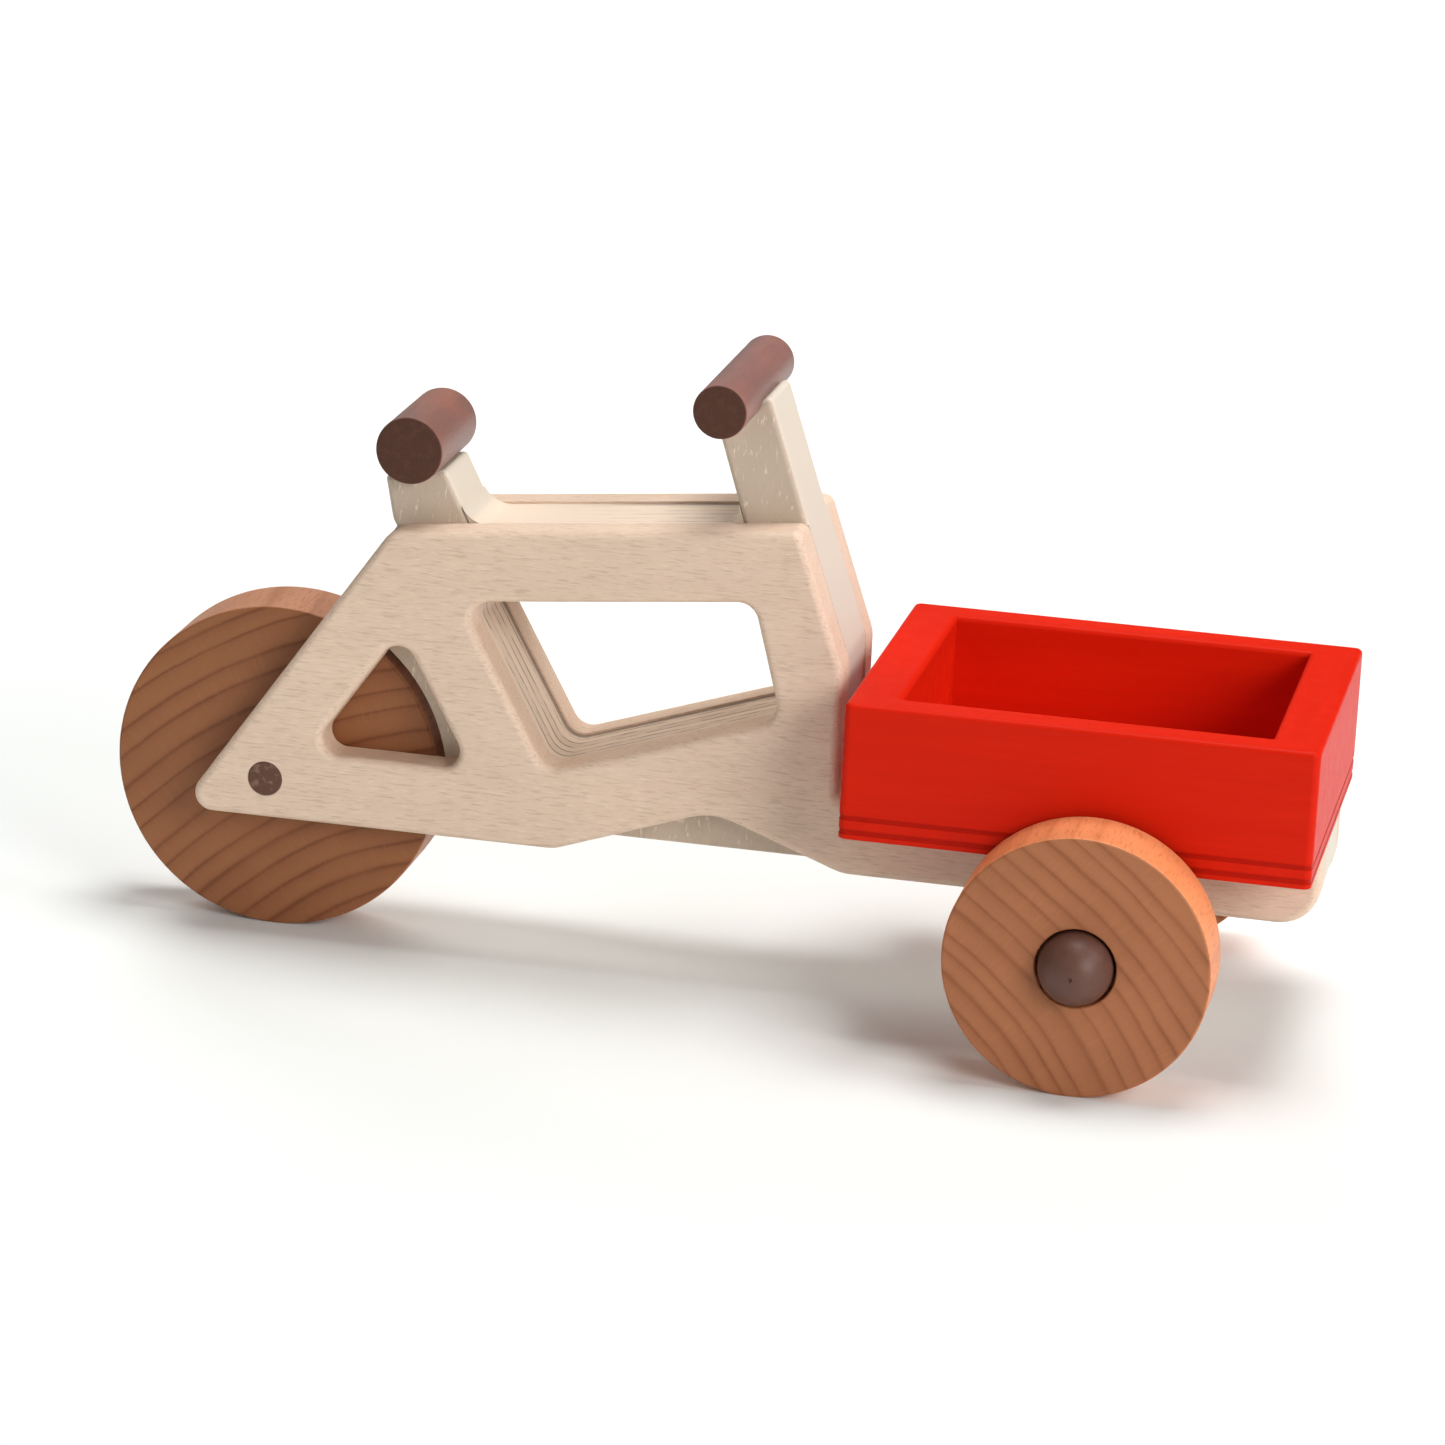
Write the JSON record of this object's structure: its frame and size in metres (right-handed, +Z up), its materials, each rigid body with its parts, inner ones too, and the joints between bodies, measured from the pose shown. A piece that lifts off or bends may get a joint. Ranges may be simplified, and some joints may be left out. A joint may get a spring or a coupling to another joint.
{
  "type": "toy cargo tricycle",
  "caption": "Wooden toy cargo tricycle: layered frame with saddle and handlebar dowels, open red box over the front wheels, one big wheel in a slot at the rear.",
  "frame": {"origin": "on the ground, under the middle of the overall length and width", "axes": "+X towards the cargo box at the front, +Y to the toy's left, +Z up"},
  "size_m": [0.2758, 0.1368, 0.1398],
  "materials": {
    "plywood_core": "fine-sanded plywood edge, thin clear oil",
    "frame_veneer": "fine-sanded pale hardwood, thin clear oil",
    "dowel_wood": "smooth pinkish brown dowel, darker end grain",
    "dark_dowel_wood": "dark end grain, flush with the frame",
    "peg_wood": "smooth dark brown turned cap, satin",
    "wheel_wood": "turned reddish brown beech with open grain, satin",
    "red_paint": "wood under satin red paint, grain just showing"
  },
  "bodies": {
    "frame": {"frame_core": "plywood_core", "frame_plate_left": "frame_veneer", "frame_plate_right": "frame_veneer", "saddle": "dowel_wood", "handlebar": "dowel_wood", "rear_axle": "dark_dowel_wood", "axle_block": "frame_veneer", "axle_peg_left": "peg_wood", "axle_peg_right": "peg_wood", "box_floor": "red_paint", "box_side_wall_left": "red_paint", "box_side_wall_right": "red_paint", "box_rear_wall": "red_paint", "box_front_wall": "red_paint"},
    "rear_wheel": {"rear_wheel": "wheel_wood"},
    "front_wheel_left": {"front_wheel_left": "wheel_wood"},
    "front_wheel_right": {"front_wheel_right": "wheel_wood"}
  },
  "joints": [
    {"name": "rear_wheel_spin", "type": "hinge", "parent": "frame", "child": "rear_wheel", "pos_m": [-0.1004, 0, 0.0375], "axis": [0, 1, 0], "continuous": true},
    {"name": "front_wheel_left_spin", "type": "hinge", "parent": "frame", "child": "front_wheel_left", "pos_m": [0.0911, 0.0526, 0.029], "axis": [0, 1, 0], "continuous": true},
    {"name": "front_wheel_right_spin", "type": "hinge", "parent": "frame", "child": "front_wheel_right", "pos_m": [0.0911, -0.0526, 0.029], "axis": [0, 1, 0], "continuous": true}
  ]
}
